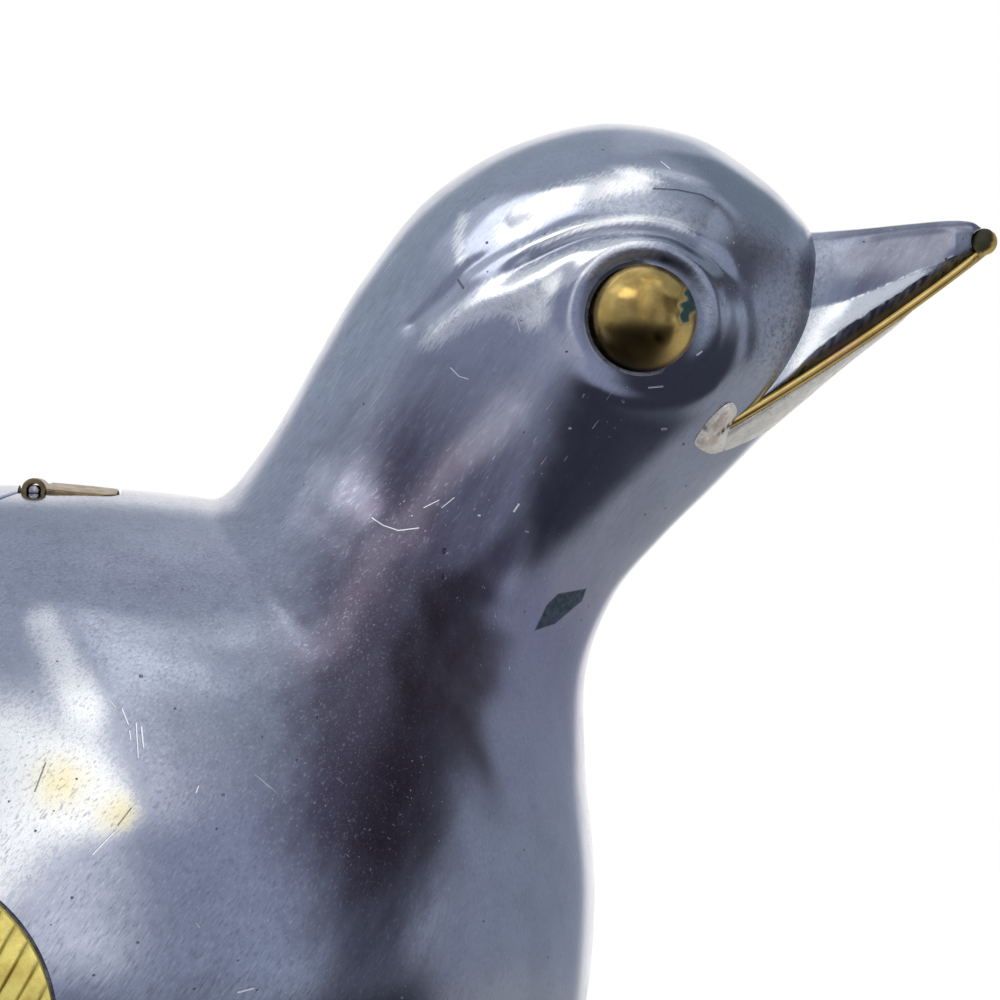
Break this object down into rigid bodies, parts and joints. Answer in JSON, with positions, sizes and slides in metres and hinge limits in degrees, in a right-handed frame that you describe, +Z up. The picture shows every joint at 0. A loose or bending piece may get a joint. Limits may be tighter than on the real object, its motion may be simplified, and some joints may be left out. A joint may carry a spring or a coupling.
{
  "type": "trinket box",
  "caption": "Hollow quail-shaped metal keepsake box with brass eyes, wings and beak edge, and an oval lid hinged on its back.",
  "frame": {"origin": "middle of the overall box in X and Y, at the underside of the flat base", "axes": "+X towards the beak, +Y towards the bird's left side, +Z up"},
  "size_m": [0.1678, 0.0708, 0.1053],
  "materials": {
    "pewter": "worn polish",
    "dull_pewter": "matt, unpolished",
    "brass": "polished, tarnished",
    "steel": "satin"
  },
  "bodies": {
    "body": {"body_shell_right": "pewter", "body_shell_left": "pewter", "base_plate": "pewter", "lid_seat_ring": "brass", "hinge_leaf_body": "brass", "hinge_pin": "steel", "wing_plate_right": "brass", "wing_plate_left": "brass", "eye_stud_right": "brass", "eye_stud_left": "brass", "beak_upper": "pewter", "beak_mouth_plate": "brass", "beak_lower": "dull_pewter", "mouth_solder_right": "dull_pewter", "mouth_solder_left": "dull_pewter"},
    "lid": {"lid_panel": "pewter", "thumb_tab": "brass", "hinge_leaf_lid": "brass"}
  },
  "joints": [
    {"name": "lid_hinge", "type": "hinge", "parent": "body", "child": "lid", "pos_m": [0.007, 0, 0.07594], "axis": [0, 1, 0], "range_deg": [0, 130]}
  ]
}
